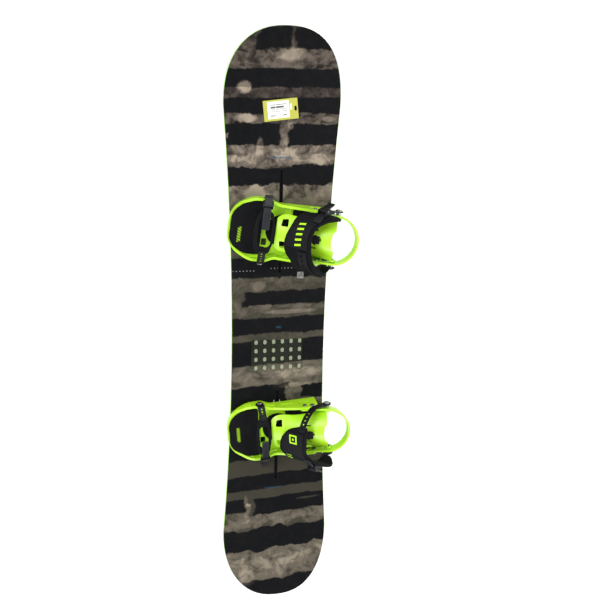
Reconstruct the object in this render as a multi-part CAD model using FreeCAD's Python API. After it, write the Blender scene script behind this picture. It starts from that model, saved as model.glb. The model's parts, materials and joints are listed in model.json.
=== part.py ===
import FreeCAD, Part
import math
import os

V = FreeCAD.Vector

# ---------------------------------------------------------------- dimensions (mm, degrees)
# Board: +Y is the nose, -X the toe edge, z = 0 the running base.
BOARD_HALF_LENGTH = 770.0
TIP_START = 585.0          # widest point of nose and tail
TIP_HALF_WIDTH = 146.0
WAIST_HALF_WIDTH = 123.5
TIP_POWER = 2.4            # roundness of the nose outline
KICK_START = 580.0         # the base is flat up to here
KICK_RADIUS = 424.0        # bend of nose and tail
BASE_TOP = 1.6
SHEET_UNDER = 8.8
BOARD_TOP = 9.6
EDGE_WIDTH = 2.2
SIDEWALL_WIDTH = 5.0
CHANNEL_INNER = 150.0      # inner end of each channel
CHANNEL_OUTER = 428.0
CHANNEL_SLOT = 3.3         # half width of the open slot

# Bindings: origin on the disc axis, +x to the heel, +y to the outer side, z from the base.
STANCE = (("front", 276.0, -7.0, False), ("rear", -267.0, 4.0, True))
PLATE_UNDER = 9.9
FLOOR_TOP = 17.0
DISC_RADIUS = 36.5
FLANGE_RADIUS = 40.0
RAIL_THICK = 6.4
HOOP_CENTRE_X = 121.0
HOOP_OUTER = 63.5
HOOP_INNER = 59.0
PIVOT_X = 128.0            # shared axis of highback and ankle strap
PIVOT_Z = 68.0
FOLD_TILT = 14.0           # folded highback slopes this much down to the toe
BOLT_RADIUS = 3.0
RUNNING_FIT = 0.05
ARCH_X = 80.0              # centre of the ankle strap arch
ARCH_Z = 66.0
ARCH_TILT = 43.0           # arch leans forward, measured up from level
PAD_IN = 60.0
PAD_OUT = 67.2
LADDER_IN = 70.5
LADDER_OUT = 73.3
LADDER_MIDDLE = 27.0      # cross position of the ladder in the ankle buckle
LADDER_HALF = 9.0
LADDER_TIP = 47.0
LEG_DRIFT = 27.0           # depth over which a sagging leg comes back to its bolt
TOE_BOLT_X = -48.0
TOE_BOLT_Z = 38.0

X_AXIS = V(1, 0, 0)
Y_AXIS = V(0, 1, 0)
Z_AXIS = V(0, 0, 1)
PLAN = (V(0, 0, 0), X_AXIS, Y_AXIS, Z_AXIS)
SIDE = (V(0, 0, 0), X_AXIS, Z_AXIS, Y_AXIS)


# ---------------------------------------------------------------- drawing helpers
def at(frame, a, b, c=0.0):
    """Point of a local frame (origin, first, second and third direction)."""
    origin, first, second, third = frame
    return origin + first * a + second * b + third * c


def corner(before, here, after, radius):
    """Tangent points and middle point of a rounded corner."""
    to_before = (before - here).normalize()
    to_after = (after - here).normalize()
    half = to_before.getAngle(to_after) / 2.0
    reach = radius / math.tan(half)
    middle_way = (to_before + to_after).normalize()
    middle = here + middle_way * (radius / math.sin(half) - radius)
    return here + to_before * reach, middle, here + to_after * reach


def rounded_face(points, radii, frame, level=0.0):
    """Flat face of a polygon with rounded corners."""
    spots = [at(frame, p[0], p[1], level) for p in points]
    count = len(spots)
    edges = []
    last = None
    first = None
    for i in range(count):
        radius = radii[i] if isinstance(radii, (list, tuple)) else radii
        if radius > 0.01:
            start, middle, end = corner(spots[i - 1], spots[i], spots[(i + 1) % count], radius)
        else:
            start, middle, end = spots[i], None, spots[i]
        if last is not None and (start - last).Length > 1e-4:
            edges.append(Part.makeLine(last, start))
        if middle is not None:
            edges.append(Part.Arc(start, middle, end).toShape())
        if first is None:
            first = start
        last = end
    if (first - last).Length > 1e-4:
        edges.append(Part.makeLine(last, first))
    return Part.Face(Part.Wire(edges))


def slab(points, radii, frame, low, high):
    """Rounded polygon extruded from one level of the frame to another."""
    return rounded_face(points, radii, frame, low).extrude(frame[3] * (high - low))


def inset(points, radii, distance):
    """Polygon moved inwards by a distance, with its corner radii."""
    count = len(points)
    area = 0.0
    for i in range(count):
        x0, y0 = points[i]
        x1, y1 = points[(i + 1) % count]
        area += x0 * y1 - x1 * y0
    sign = 1.0 if area > 0 else -1.0
    moved = []
    rounded = []
    for i in range(count):
        x0, y0 = points[i - 1]
        x1, y1 = points[i]
        x2, y2 = points[(i + 1) % count]
        ax, ay = x1 - x0, y1 - y0
        bx, by = x2 - x1, y2 - y1
        al = math.hypot(ax, ay)
        bl = math.hypot(bx, by)
        nax, nay = -ay / al * sign, ax / al * sign
        nbx, nby = -by / bl * sign, bx / bl * sign
        scale = distance / (1.0 + nax * nbx + nay * nby)
        moved.append((x1 + (nax + nbx) * scale, y1 + (nay + nby) * scale))
        convex = (ax * by - ay * bx) * sign > 0
        rounded.append(max(radii[i] - distance, 0.5) if convex else radii[i] + distance)
    return moved, rounded


def cylinder(radius, start, end):
    """Round bar between two points."""
    return Part.makeCylinder(radius, (end - start).Length, start, end - start)


def both_sides(shape):
    """A shape and its mirror image across the binding centre line, as one group."""
    return Part.makeCompound([shape, shape.mirror(V(0, 0, 0), Y_AXIS)])


def rounded_bar(frame, spot, normal, low, high, near, far, radius):
    """Closed wire: rounded rectangle across a strap at one station."""
    across = frame[1] * normal[0] + frame[2] * normal[1]
    local = (at(frame, spot[0], spot[1]), across, frame[3], frame[3])
    points = ((low, near), (low, far), (high, far), (high, near))
    return rounded_face(points, radius, local).OuterWire


def band(frame, stations, radius=1.0):
    """Strap lofted through stations (spot, normal, low, high, near, far)."""
    wires = []
    for spot, normal, low, high, near, far in stations:
        wires.append(rounded_bar(frame, spot, normal, low, high, near, far, radius))
    return Part.makeLoft(wires, True, False)


def between(value, xs, ys):
    """Straight-line interpolation in a short table."""
    if value <= xs[0]:
        return ys[0]
    for i in range(1, len(xs)):
        if value <= xs[i]:
            part = (value - xs[i - 1]) / (xs[i] - xs[i - 1])
            return ys[i - 1] + (ys[i] - ys[i - 1]) * part
    return ys[-1]


# ---------------------------------------------------------------- the board
def outline_face(margin):
    """Plan outline of the board, moved inwards by a margin."""
    quarter = []
    steps = 26
    reach = BOARD_HALF_LENGTH - TIP_START - margin
    waist = WAIST_HALF_WIDTH - margin
    for i in range(steps + 1):
        angle = math.radians(90.0 * i / steps)
        x = (TIP_HALF_WIDTH - margin) * max(math.cos(angle), 0.0) ** (2.0 / TIP_POWER)
        y = TIP_START + reach * math.sin(angle) ** (2.0 / TIP_POWER)
        quarter.append((x, y))
    nose = [V(x, y, 0) for x, y in quarter] + [V(-x, y, 0) for x, y in reversed(quarter[:-1])]
    tail = [V(-p.x, -p.y, 0) for p in nose]
    nose_curve = Part.BSplineCurve()
    nose_curve.interpolate(Points=nose, InitialTangent=V(0, 1, 0), FinalTangent=V(0, -1, 0))
    tail_curve = Part.BSplineCurve()
    tail_curve.interpolate(Points=tail, InitialTangent=V(0, -1, 0), FinalTangent=V(0, 1, 0))
    left = Part.Arc(nose[-1], V(-waist, 0, 0), tail[0]).toShape()
    right = Part.Arc(tail[-1], V(waist, 0, 0), nose[0]).toShape()
    return Part.Face(Part.Wire([nose_curve.toShape(), left, tail_curve.toShape(), right]))


def outline_block(margin):
    """Upright block with the board outline."""
    block = outline_face(margin).extrude(V(0, 0, 140))
    block.translate(V(0, 0, -20))
    return block


def layer(low, high):
    """One layer of the board: flat in the middle, bent up at nose and tail."""
    turn = math.radians(31)
    centre = V(0, KICK_START, KICK_RADIUS)

    def tip(height, angle, side):
        radius = KICK_RADIUS - height
        y = centre.y + radius * math.sin(angle)
        return V(-200, y * side, KICK_RADIUS - radius * math.cos(angle))

    edges = [Part.makeLine(V(-200, -KICK_START, low), V(-200, KICK_START, low))]
    edges.append(Part.Arc(tip(low, 0, 1), tip(low, turn / 2, 1), tip(low, turn, 1)).toShape())
    edges.append(Part.makeLine(tip(low, turn, 1), tip(high, turn, 1)))
    edges.append(Part.Arc(tip(high, turn, 1), tip(high, turn / 2, 1), tip(high, 0, 1)).toShape())
    edges.append(Part.makeLine(V(-200, KICK_START, high), V(-200, -KICK_START, high)))
    edges.append(Part.Arc(tip(high, 0, -1), tip(high, turn / 2, -1), tip(high, turn, -1)).toShape())
    edges.append(Part.makeLine(tip(high, turn, -1), tip(low, turn, -1)))
    edges.append(Part.Arc(tip(low, turn, -1), tip(low, turn / 2, -1), tip(low, 0, -1)).toShape())
    return Part.Face(Part.Wire(edges)).extrude(V(400, 0, 0))


def channel_box(half_width, low, high, margin=0.0):
    """The room of the front channel, rounded at both ends in plan."""
    y0 = CHANNEL_INNER - margin
    y1 = CHANNEL_OUTER + margin
    points = ((-half_width, y0), (half_width, y0), (half_width, y1), (-half_width, y1))
    return slab(points, half_width * 0.98, PLAN, low, high)


def front_and_rear(shape):
    """A front piece and its copy in the rear half of the board."""
    return [shape, shape.mirror(V(0, 0, 0), Y_AXIS)]


def build_board():
    """All fixed pieces of the board itself."""
    whole = outline_block(0.0)
    inside_edge = outline_block(EDGE_WIDTH)
    inside_wall = outline_block(SIDEWALL_WIDTH)
    inside_sheet = outline_block(0.3)
    bottom = layer(0.0, BASE_TOP)
    middle = layer(BASE_TOP, SHEET_UNDER)
    top = layer(SHEET_UNDER, BOARD_TOP)
    pockets = front_and_rear(channel_box(8.5, 3.6, SHEET_UNDER, 3.0))
    mouths = front_and_rear(channel_box(4.6, SHEET_UNDER, BOARD_TOP + 1, 1.4))
    board = {}
    board["base"] = bottom.common(inside_edge)
    board["steel_edges"] = bottom.common(whole).cut(inside_edge)
    board["sidewalls"] = middle.common(whole).cut(inside_wall)
    board["core"] = middle.common(inside_wall).cut(pockets)
    board["topsheet"] = top.common(inside_sheet).cut(mouths)
    track = channel_box(8.5, 3.6, SHEET_UNDER, 3.0)
    track = track.fuse(channel_box(4.6, SHEET_UNDER, BOARD_TOP, 1.4)).removeSplitter()
    track = track.cut(channel_box(6.4, 4.4, 7.4))
    track = track.cut(channel_box(CHANNEL_SLOT, 7.0, BOARD_TOP + 1))
    board["channel_tracks"] = Part.makeCompound(front_and_rear(track))
    cover = slab(((-3.1, 150.3), (3.1, 150.3), (3.1, 165.0), (-3.1, 165.0)), 3.0, PLAN, 5.0, BOARD_TOP)
    cover = cover.fuse(slab(((-6, 156.8), (6, 156.8), (6, 164.0), (-6, 164.0)), 1.0, PLAN, 4.4, 6.8))
    board["channel_covers"] = Part.makeCompound(front_and_rear(cover.removeSplitter()))
    board["stomp_pad"] = build_stomp_pad()
    card = slab(((-43, -25), (43, -25), (43, 25), (-43, 25)), 1.5, PLAN, 0.0, 0.8)
    card = card.cut(slab(((34, -6), (40, -6), (40, 6), (34, 6)), 2.9, PLAN, -1.0, 2.0))
    card.rotate(V(0, 0, 0), Z_AXIS, 6.5)
    card.translate(V(-5, 575, BOARD_TOP))
    card.rotate(V(0, 545, BOARD_TOP), X_AXIS, 1.2)
    board["price_label"] = card
    return board


def build_stomp_pad():
    """Clear rubber grip mat with raised oval studs."""
    mat = slab(((-68.5, -46.5), (68.5, -46.5), (68.5, 46.5), (-68.5, 46.5)), 7.0, PLAN, 0.0, 1.6)
    studs = []
    for row in range(4):
        for column in range(6):
            x = -56.5 + column * 23.5
            y = -34.5 + row * 24.0
            oval = ((x - 4.3, y - 6), (x + 4.3, y - 6), (x + 4.3, y + 6), (x - 4.3, y + 6))
            studs.append(slab(oval, 4.2, PLAN, 1.0, 3.6))
    mat = mat.fuse(studs).removeSplitter()
    mat.translate(V(-3.5, -60.5, BOARD_TOP))
    return mat


# ---------------------------------------------------------------- binding base
PLATE_OUTLINE = ((112, -70), (112, 70), (-18, 70), (-40, 80), (-80, 80), (-136, 52),
                 (-136, -52), (-80, -80), (-40, -80), (-18, -70))
PLATE_RADII = (6, 6, 40, 18, 60, 60, 60, 60, 18, 40)
WALL_PROFILE = ((-140, 0), (-140, 23), (-106, 24), (-90, 33), (-72, 40), (-34, 45), (-12, 44),
                (18, 56), (56, 67), (90, 70), (107, 50), (107, 0))
WALL_RADII = (0, 4, 12, 14, 14, 14, 24, 30, 20, 9, 9, 0)
TOE_PAD_OUTLINE = ((-50, -66), (-50, 72), (-88, 72), (-134.5, 40), (-134.5, -42), (-92, -66))
TOE_PAD_RADII = (4, 4, 44, 40, 40, 44)


def build_baseplate():
    """Moulded tray: floor with disc opening, toe ramp and two high side rails."""
    inner, inner_radii = inset(PLATE_OUTLINE, PLATE_RADII, RAIL_THICK)
    walls = slab(PLATE_OUTLINE, PLATE_RADII, PLAN, PLATE_UNDER, 90)
    walls = walls.cut(slab(inner, inner_radii, PLAN, 0, 100))
    walls = walls.common(slab(WALL_PROFILE, WALL_RADII, SIDE, -100, 100))
    floor = slab(PLATE_OUTLINE, PLATE_RADII, PLAN, PLATE_UNDER, FLOOR_TOP)
    ramp = slab(PLATE_OUTLINE, PLATE_RADII, PLAN, PLATE_UNDER, FLOOR_TOP + 4)
    toe_zone = Part.makeBox(90, 200, 60, V(-140, -100, 0))
    floor = floor.common(Part.makeBox(247, 200, 60, V(-140, -100, 0)))
    plate = walls.fuse([floor, ramp.common(toe_zone)]).removeSplitter()
    cuts = [cylinder(DISC_RADIUS + 0.4, V(0, 0, 0), V(0, 0, 30))]
    cuts.append(cylinder(FLANGE_RADIUS + 0.4, V(0, 0, 13.6), V(0, 0, 30)))
    for side in (-1, 1):
        window = ((-48, 24), (-34, 24), (-34, 42), (-48, 42))
        window = [(x, y * side) for x, y in window]
        cuts.append(slab(window, 2.5, PLAN, 0, 30))
        heel = [(x, y * side) for x, y in ((52, 16), (92, 16), (92, 44), (52, 44))]
        cuts.append(slab(heel, 6, PLAN, 0, 14))
    for x0, x1, z0, z1 in ((-94, -70, 23, 29), (-30, -6, 24, 33), (8, 46, 26, 36), (58, 92, 26, 40)):
        opening = ((x0, z0), (x1, z0), (x1, z1), (x0, z1))
        cuts.append(slab(opening, (z1 - z0) * 0.45, SIDE, -100, 100))
    for x, z in BASE_BOLTS:
        cuts.append(cylinder(BOLT_RADIUS, V(x, -100, z), V(x, 100, z)))
    return plate.cut(cuts)


BASE_BOLTS = ((TOE_BOLT_X, TOE_BOLT_Z), (70, 58), (90, 62))


def build_footbeds(plate):
    """Soft toe ramp and heel pad lying in the tray."""
    inner, inner_radii = inset(PLATE_OUTLINE, PLATE_RADII, RAIL_THICK + 0.2)
    toe = slab(inner, inner_radii, PLAN, FLOOR_TOP + 4, 32)
    toe = toe.common(slab(TOE_PAD_OUTLINE, TOE_PAD_RADII, PLAN, 0, 60))
    toe = toe.fuse(slab(TOE_PAD_OUTLINE, TOE_PAD_RADII, PLAN, 24.2, 32))
    crown = slab(((-140, 0), (-140, 30), (-96, 32), (-50, 29), (-50, 0)), (0, 8, 60, 3, 0), SIDE, -100, 100)
    toe = toe.common(crown).cut(plate).removeSplitter()
    heel = slab(inner, inner_radii, PLAN, FLOOR_TOP, 22)
    heel = heel.common(slab(((22, -60), (104, -60), (104, 60), (22, 60)), 8, PLAN, 0, 60))
    heel = heel.cut(cylinder(FLANGE_RADIUS + 1.5, V(0, 0, 0), V(0, 0, 60)))
    return biggest(toe), biggest(heel)


def biggest(shape):
    """The largest solid of a cut shape."""
    return sorted(shape.Solids, key=lambda solid: solid.Volume)[-1]


def build_disc():
    """Mounting disc with flange, two screws and two channel nuts."""
    disc = cylinder(DISC_RADIUS, V(0, 0, PLATE_UNDER), V(0, 0, FLOOR_TOP))
    disc = disc.fuse(cylinder(FLANGE_RADIUS, V(0, 0, 14.0), V(0, 0, FLOOR_TOP))).removeSplitter()
    screws = []
    nuts = []
    cuts = []
    for y in (-20, 20):
        bar = cylinder(BOLT_RADIUS, V(0, y, 4.8), V(0, y, 14.0))
        head = cylinder(5.6, V(0, y, 13.4), V(0, y, 17.6))
        drive = cylinder(2.2, V(0, y, 15.6), V(0, y, 18.0))
        screws.append(bar.fuse(head).cut(drive).removeSplitter())
        cuts.append(cylinder(6.2, V(0, y, 13.4), V(0, y, 20)))
        cuts.append(cylinder(BOLT_RADIUS, V(0, y, 0), V(0, y, 20)))
        nut = slab(((-6, y - 8), (6, y - 8), (6, y + 8), (-6, y + 8)), 1.5, PLAN, 4.8, 7.0)
        nuts.append(nut.cut(cylinder(BOLT_RADIUS, V(0, y, 0), V(0, y, 20))))
    for turn in range(0, 360, 30):
        away = V(math.cos(math.radians(turn)) * 32, math.sin(math.radians(turn)) * 32, 0)
        cuts.append(cylinder(2.4, away + V(0, 0, 15.4), away + V(0, 0, 20)))
    return disc.cut(cuts), Part.makeCompound(screws), Part.makeCompound(nuts)


HOOP_PROFILE = ((58, 43), (104, 55), (140, 62), (190, 72), (190, 95), (140, 89), (104, 77), (58, 66))


def build_hoop():
    """Heel hoop: a U-shaped band that runs inside the rails and round the heel."""
    def u_block(radius, front):
        bar = Part.makeBox(HOOP_CENTRE_X - front, radius * 2, 120, V(front, -radius, 0))
        return bar.fuse(cylinder(radius, V(HOOP_CENTRE_X, 0, 0), V(HOOP_CENTRE_X, 0, 120)))

    hoop = u_block(HOOP_OUTER, 58).cut(u_block(HOOP_INNER, 50))
    hoop = hoop.common(slab(HOOP_PROFILE, (4, 60, 90, 5, 5, 90, 60, 8), SIDE, -100, 100))
    cuts = [cylinder(BOLT_RADIUS, V(PIVOT_X, -100, PIVOT_Z), V(PIVOT_X, 100, PIVOT_Z))]
    for x, z in BASE_BOLTS[1:]:
        cuts.append(cylinder(BOLT_RADIUS, V(x, -100, z), V(x, 100, z)))
    return hoop.cut(cuts).removeSplitter()


def bolt(x, z, inner, outer, head_radius, extra=None):
    """Cross bolt with a domed head outside and a nut inside."""
    bar = cylinder(BOLT_RADIUS, V(x, inner, z), V(x, outer + 1, z))
    head = cylinder(head_radius, V(x, outer, z), V(x, outer + 3.4, z))
    outer_edges = [e for e in head.Edges if abs(e.CenterOfMass.y - outer - 3.4) < 0.01]
    head = head.makeFillet(1.4, outer_edges)
    nut = cylinder(5.0, V(x, inner - 2.8, z), V(x, inner + 0.2, z))
    pieces = [head, nut] + (extra or [])
    drive = cylinder(2.0, V(x, outer + 1.6, z), V(x, outer + 5, z))
    return bar.fuse(pieces).cut(drive).removeSplitter()


def build_bolts():
    """Bolts of hoop and toe strap, and the shoulder bolts of highback and ankle strap."""
    base_bolts = []
    toe_outer = 80 + 0.5 + 3.0 + 0.8
    base_bolts.append(both_sides(bolt(TOE_BOLT_X, TOE_BOLT_Z, 80 - RAIL_THICK - 0.2, toe_outer, 7.0)))
    for x, z in BASE_BOLTS[1:]:
        base_bolts.append(both_sides(bolt(x, z, HOOP_INNER - 0.2, 70, 5.5)))
    shoulder = cylinder(6.0, V(PIVOT_X, HOOP_OUTER, PIVOT_Z), V(PIVOT_X, LADDER_IN - 0.4, PIVOT_Z))
    pivot = bolt(PIVOT_X, PIVOT_Z, 51.2, LADDER_OUT + 0.4, 8.0, [shoulder])
    return Part.makeCompound(base_bolts), both_sides(pivot)


# ---------------------------------------------------------------- highback
HB_REACH = (0, 22, 45, 70, 95, 118, 136, 149)
HB_HALF = (56, 53, 49, 45, 45, 48, 46, 36)
HB_EDGE = (0, 0, 1, 3, 5, 8, 11, 15)
HB_CROWN = (41, 38, 35, 32, 30, 28, 26, 24)
HB_THICK = 3.4


def highback_frame():
    """Frame of the folded highback: along its height, sideways, and out of its back."""
    tilt = math.radians(FOLD_TILT)
    along = V(-math.cos(tilt), 0, -math.sin(tilt))
    out = V(-math.sin(tilt), 0, math.cos(tilt))
    return (V(PIVOT_X, 0, PIVOT_Z), along, Y_AXIS, out)


def shell_wire(frame, reach, half, edge, crown, thick):
    """Crescent section of the highback shell."""
    def spot(side, out):
        return at(frame, reach, side, out)

    inner_half = half - thick
    outer = Part.Arc(spot(-half, edge), spot(0, crown), spot(half, edge)).toShape()
    under = Part.Arc(spot(inner_half, edge), spot(0, crown - thick), spot(-inner_half, edge)).toShape()
    right = Part.makeLine(spot(half, edge), spot(inner_half, edge))
    left = Part.makeLine(spot(-inner_half, edge), spot(-half, edge))
    return Part.Wire([outer, right, under, left])


def shell(reaches, shrink, thick, margin):
    """Curved shell lofted along the highback, optionally set in under the outer skin."""
    frame = highback_frame()
    wires = []
    for reach in reaches:
        half = between(reach, HB_REACH, HB_HALF) - shrink - margin
        edge = between(reach, HB_REACH, HB_EDGE)
        crown = between(reach, HB_REACH, HB_CROWN) - shrink
        if margin > 0:
            rise = 1 - (half / (half + margin)) ** 2
            edge = edge + (crown - edge) * rise
        wires.append(shell_wire(frame, reach, half, edge, crown, thick))
    return Part.makeLoft(wires, True, False)


def build_highback():
    """Folded highback shell, its inner pad and the lean adjuster on its spine."""
    frame = highback_frame()
    along, out = frame[1], frame[3]
    back = shell(HB_REACH, 0.0, HB_THICK, 0.0)
    mount = cylinder(10.0, V(PIVOT_X, 51.6, PIVOT_Z), V(PIVOT_X, 56.0, PIVOT_Z))
    back = back.fuse([mount, mount.mirror(V(0, 0, 0), Y_AXIS)])
    face = (frame[0], along, Y_AXIS, out)
    cuts = []
    for side in (-1, 1):
        window = [(a, b * side) for a, b in ((120, 19), (138, 19), (135, 36), (120, 38))]
        cuts.append(slab(window, 3, face, -10, 60))
        slot = [(a, b * side) for a, b in ((44, 21), (60, 20), (60, 24), (44, 25))]
        cuts.append(slab(slot, 1.8, face, -10, 60))
        cuts.append(cylinder(5.6, V(PIVOT_X, 40 * side, PIVOT_Z), V(PIVOT_X, 51.6 * side, PIVOT_Z)))
    waist = ((-30, -30), (-30, 30), (6, 24), (10, 0), (6, -24))
    cuts.append(slab(waist, (1, 1, 8, 14, 8), face, 20, 60))
    guide = ((34, -3.4), (74, -3.4), (74, 3.4), (34, 3.4))
    cuts.append(slab(guide, 3.3, face, 0, 60))
    cuts.append(pivot_hole(RUNNING_FIT))
    back = back.cut(cuts).removeSplitter()
    pad = shell((84, 96, 108, 122), HB_THICK, 4.0, 12.0)
    crown = between(38, HB_REACH, HB_CROWN)
    block = slab(((38, -9.5), (62, -9.5), (62, 9.5), (38, 9.5)), 3, face, crown + 0.7, crown + 9)
    top_edges = [e for e in block.Edges if abs((e.CenterOfMass - at(face, 50, 0, crown + 9)).dot(out)) < 0.01]
    block = block.makeFillet(2.0, top_edges)
    stem = slab(((38, -3), (56, -3), (56, 3), (38, 3)), 2.9, face, crown - 10.5, crown + 2)
    foot = slab(((36, -7), (58, -7), (58, 7), (36, 7)), 2, face, crown - 12, crown - 9.5)
    grip = slab(((47, -12), (53, -12), (53, 12), (47, 12)), 2, face, crown + 3.5, crown + 7)
    adjuster = block.fuse([stem, foot, grip]).removeSplitter()
    return biggest(back), pad, adjuster


# ---------------------------------------------------------------- ankle strap
def arch_frame():
    """Frame of the ankle strap arch: sideways, up through the arch, across the strap."""
    tilt = math.radians(ARCH_TILT)
    up = V(-math.cos(tilt), 0, math.sin(tilt))
    across = V(math.sin(tilt), 0, math.cos(tilt))
    return (V(ARCH_X, 0, ARCH_Z), Y_AXIS, up, across)


def pivot_in_arch():
    """Height and cross position of the pivot axis in the arch frame."""
    frame = arch_frame()
    away = V(PIVOT_X, 0, PIVOT_Z) - frame[0]
    return away.dot(frame[2]), away.dot(frame[3])


def leg_share(depth):
    """Share of the sideways sag that is left at a depth below the arch."""
    part = min(depth / LEG_DRIFT, 1.0)
    if part < 0.2:
        return 1.0 - 3.125 * part * part
    if part < 0.8:
        return 1.0 - 1.25 * (part - 0.1)
    return 3.125 * (1.0 - part) ** 2


def strap_place(place, sag):
    """Foot, direction and extra reach of the strap at a place along it.

    0 to 180 are degrees on the arch from the outer side. Beyond either end the
    number carries on in millimetres down the leg to the bolt.
    """
    outer, inner = sag
    if place < 0:
        return (0.0, place), (1.0, 0.0), outer * leg_share(-place)
    if place > 180:
        return (0.0, 180.0 - place), (-1.0, 0.0), inner * leg_share(place - 180)
    cosine = math.cos(math.radians(place))
    side = outer if place < 90 else inner
    return (0.0, 0.0), (cosine, math.sin(math.radians(place))), side * cosine ** 2


def strap_station(place, sag, low, high, near, far):
    """Section of the ankle strap at a place along it."""
    spot, normal, reach = strap_place(place, sag)
    return (spot, normal, low + reach, high + reach, near, far)


def strap_spot(place, sag, radius):
    """Point beside the strap in the plane of the arch."""
    spot, normal, reach = strap_place(place, sag)
    return (spot[0] + normal[0] * (radius + reach), spot[1] + normal[1] * (radius + reach))


def build_ankle_pad(style):
    """Padded strap body over the instep."""
    stations = []
    for place, near, far in style["pad"]:
        stations.append(strap_station(place, style["sag"], PAD_IN, PAD_OUT, near, far))
    return band(arch_frame(), stations, 2.6)


def build_ankle_cover(style):
    """Thin stiff cover on top of the pad, a little smaller all round."""
    places = [row[0] for row in style["pad"]]
    nears = [row[1] for row in style["pad"]]
    fars = [row[2] for row in style["pad"]]
    first, last = style["cover"]
    stations = []
    for step in range(9):
        place = first + (last - first) * step / 8.0
        near = between(place, places, nears) + 8
        far = between(place, places, fars) - 11
        stations.append(strap_station(place, style["sag"], PAD_OUT + 0.3, PAD_OUT + 1.7, near, far))
    return band(arch_frame(), stations, 0.6)


def leg_end(side, radius):
    """Round end of a strap leg, centred on the pivot axis."""
    height, across = pivot_in_arch()
    frame = arch_frame()
    start = at(frame, side * LADDER_IN, height, across)
    return cylinder(radius, start, at(frame, side * LADDER_OUT, height, across))


def pivot_hole(extra):
    """Through hole on the pivot axis."""
    return cylinder(BOLT_RADIUS + extra, V(PIVOT_X, -100, PIVOT_Z), V(PIVOT_X, 100, PIVOT_Z))


def strap_ribbon(places, sag, settle, outline):
    """Strap cut from a bent sheet: its side profile, trimmed to an outline of height and width.

    The free end lies closer to the pad by the settle distance.
    """
    frame = arch_frame()
    side = 1.0 if places[-1] < 90 else -1.0

    def curve(radius):
        spots = []
        for place in places:
            sunk = settle * min(max((180.0 - place) / (180.0 - places[0]), 0.0), 1.0)
            spots.append(strap_spot(place, sag, radius - sunk))
        spots = [at(frame, u, w, -60) for u, w in spots]
        spline = Part.BSplineCurve()
        run = spots[1] - spots[0]
        spline.interpolate(Points=spots, InitialTangent=run.normalize(), FinalTangent=frame[2] * -1.0)
        return spots, spline.toShape()

    inner, inner_edge = curve(LADDER_IN)
    outer, outer_edge = curve(LADDER_OUT)
    foot = frame[2] * -(LEG_DRIFT + 14.0 + strap_place(places[-1], sag)[0][1])
    edges = [inner_edge, Part.makeLine(inner[-1], inner[-1] + foot)]
    edges.append(Part.makeLine(inner[-1] + foot, outer[-1] + foot))
    edges.append(Part.makeLine(outer[-1] + foot, outer[-1]))
    edges.extend([outer_edge, Part.makeLine(outer[0], inner[0])])
    sheet = Part.Face(Part.Wire(Part.__sortEdges__(edges))).extrude(frame[3] * 160.0)
    upright = (frame[0], frame[2], frame[3], frame[1] * side)
    trimmed = sheet.common(slab(outline, 0.0, upright, -10.0, 140.0))
    strap = trimmed.fuse(leg_end(side, 11.5)).removeSplitter()
    return strap.cut(pivot_hole(RUNNING_FIT))


def build_ankle_connector(style):
    """Adjustable inner strap with a row of holes, from the pad to the inner bolt."""
    height, across = pivot_in_arch()
    frame = arch_frame()
    sag = style["sag"]
    first, middle, half = style["connector"]
    places = [first + (180 - first) * step / 7.0 for step in range(8)]
    places = places + ([186, 193, 200, 180 + LEG_DRIFT] if sag[1] > 0 else [])
    outline = ((90, middle - half), (90, middle + half), (0, 20 + half), (height, across + 10),
               (height, across - 10), (0, 20 - half))
    strap = strap_ribbon(places, sag, LADDER_IN - PAD_OUT - 0.6, outline)
    cuts = []
    for step in range(5):
        place = first + 8 + step * 9
        way = strap_place(place, sag)[1]
        across_here = 20 + (middle - 20) * way[1]
        start = at(frame, way[0] * 60, way[1] * 60, across_here)
        cuts.append(cylinder(2.6, start, start + (frame[1] * way[0] + frame[2] * way[1]) * 40))
    return strap.cut(cuts)


def build_ankle_ladder(style):
    """Toothed ladder strap from the outer bolt through the buckle."""
    height, across = pivot_in_arch()
    frame = arch_frame()
    sag = style["sag"]
    places = [LADDER_TIP * (7 - step) / 7.0 for step in range(8)]
    places = places + ([-6, -13, -20, -LEG_DRIFT] if sag[0] > 0 else [])
    near = LADDER_MIDDLE - LADDER_HALF
    far = LADDER_MIDDLE + LADDER_HALF
    outline = ((90, near), (90, far), (0, far), (height, across + LADDER_HALF),
               (height, across - LADDER_HALF), (0, near))
    strap = strap_ribbon(places, sag, 0.0, outline)
    cuts = []
    place = 2.5
    while place < LADDER_TIP - 3:
        u, w = strap_spot(place, sag, LADDER_OUT)
        angle = math.radians(place)
        way = frame[1] * math.cos(angle) + frame[2] * math.sin(angle)
        along = frame[1] * (-math.sin(angle)) + frame[2] * math.cos(angle)
        notch = (at(frame, u, w), along, frame[3], way)
        tooth = ((-0.9, near + 2.5), (0.9, near + 2.5), (0.9, far - 2.5), (-0.9, far - 2.5))
        cuts.append(slab(tooth, 0.0, notch, -1.2, 2))
        place += math.degrees(3.9 / math.hypot(u, w))
    return strap.cut(cuts)


ANKLE_PIN = (80.0, 20.0)    # radius and place of the lever axle on the arch
NEAR_CHEEK = 14.6
FAR_CHEEK = 39.4
CHEEK = 2.4


def buckle_place(turn, sag):
    """Place on the strap of a buckle angle, drawn closer together where the strap sags."""
    squeeze = 72.0 / (72.0 + sag[0] * 0.88)
    return ANKLE_PIN[1] + (turn - ANKLE_PIN[1]) * squeeze


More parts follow.
